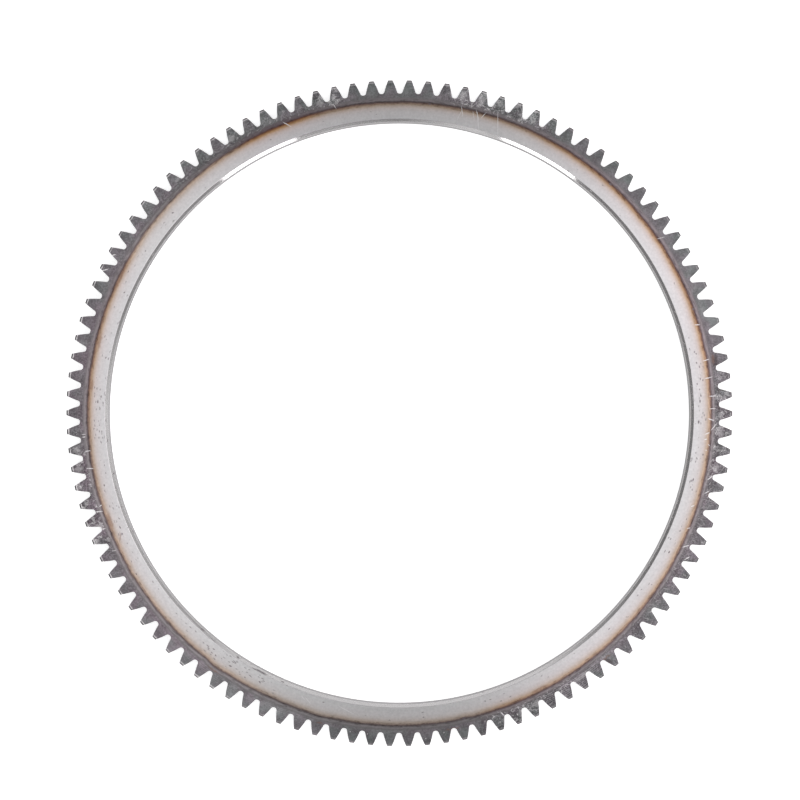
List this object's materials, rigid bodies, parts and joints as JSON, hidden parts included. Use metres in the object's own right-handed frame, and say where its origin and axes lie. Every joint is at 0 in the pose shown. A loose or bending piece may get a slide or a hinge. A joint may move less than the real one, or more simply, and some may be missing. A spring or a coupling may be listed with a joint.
{
  "type": "flywheel ring gear",
  "caption": "One-piece steel ring gear with full-depth teeth on its rim, shrunk onto a flywheel so that a starter motor can turn it.",
  "frame": {"origin": "centre of the bore, on the rear face that the ring lies on", "axes": "+Z along the ring's axis, out of the front face with the wide bore chamfer; one tooth is centred on +X"},
  "size_m": [0.336, 0.3358, 0.014],
  "materials": {
    "ring_steel": "turned bright faces, teeth dark and blued from induction hardening, with straw and brown temper bands"
  },
  "bodies": {
    "root": {"ring_gear": "ring_steel"}
  },
  "joints": []
}
